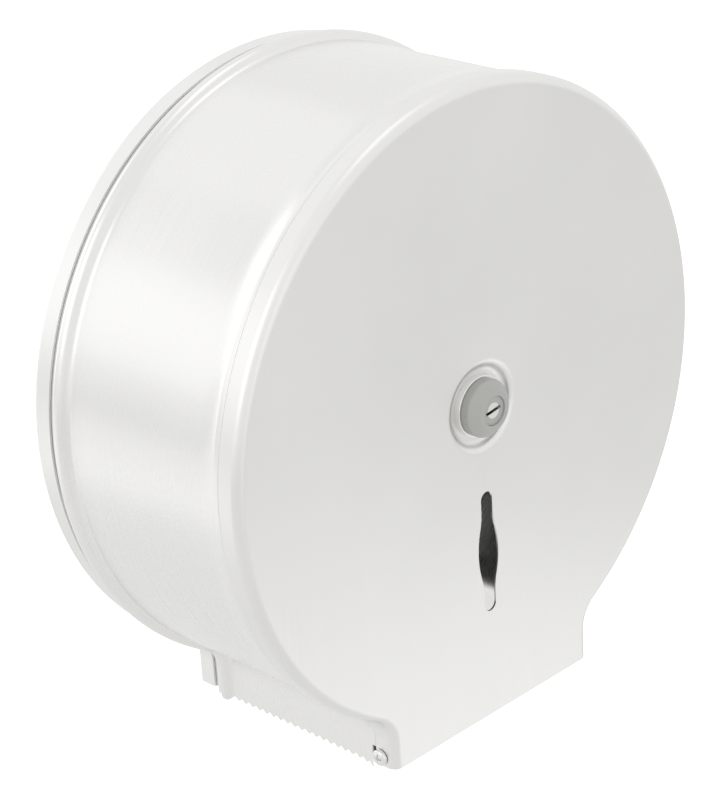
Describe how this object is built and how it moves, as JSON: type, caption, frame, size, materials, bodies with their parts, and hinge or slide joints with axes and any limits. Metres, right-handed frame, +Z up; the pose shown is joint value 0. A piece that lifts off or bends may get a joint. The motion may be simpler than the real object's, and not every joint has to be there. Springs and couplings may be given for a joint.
{
  "type": "jumbo toilet roll dispenser",
  "caption": "Round wall-mounted steel dispenser for a jumbo toilet roll, with a hinged locking front, a viewing slot and an open, toothed outlet below.",
  "frame": {"origin": "on the roll's axis, in the plane of the wall, at the centre of the four wall holes", "axes": "+Z up, +Y into the wall along the roll's axis, the front faces -Y"},
  "size_m": [0.273, 0.1255, 0.2809],
  "materials": {
    "drum_steel": "satin, grain along the sheet",
    "door_steel": "fine satin",
    "plain_steel": "plain, bright",
    "screw_plating": "bright",
    "lock_grey": "smooth",
    "lock_plating": "bright",
    "hub_plastic": "satin",
    "washer_plastic": "satin"
  },
  "bodies": {
    "base": {"back_plate": "drum_steel", "drum_wall": "drum_steel", "spindle_foot": "plain_steel", "foot_rivets": "plain_steel", "spindle_tube": "plain_steel", "hub_washer": "washer_plastic", "strike_cap": "plain_steel", "cap_pins": "plain_steel", "hinge_ear_left": "plain_steel", "hinge_nut_left": "plain_steel", "hinge_screw_left": "screw_plating", "hinge_ear_right": "plain_steel", "hinge_nut_right": "plain_steel", "hinge_screw_right": "screw_plating"},
    "hub": {"roll_hub": "hub_plastic"},
    "door": {"front_plate": "door_steel", "lock_housing": "lock_grey", "lock_bezel": "lock_plating", "lock_nut": "screw_plating", "lock_clip": "plain_steel"},
    "lock_plug": {"key_plug": "lock_grey", "key_core": "lock_plating", "lock_cam": "plain_steel", "cam_screw": "screw_plating"}
  },
  "joints": [
    {"name": "door_swing", "type": "hinge", "parent": "base", "child": "door", "pos_m": [0, -0.1114, -0.1372], "axis": [1, 0, 0], "range_deg": [0, 100]},
    {"name": "lock_turn", "type": "hinge", "parent": "door", "child": "lock_plug", "pos_m": [0, -0.11, 0], "axis": [0, 1, 0], "range_deg": [0, 90]},
    {"name": "hub_spin", "type": "hinge", "parent": "base", "child": "hub", "pos_m": [0, -0.0517, 0], "axis": [0, 1, 0], "continuous": true}
  ]
}
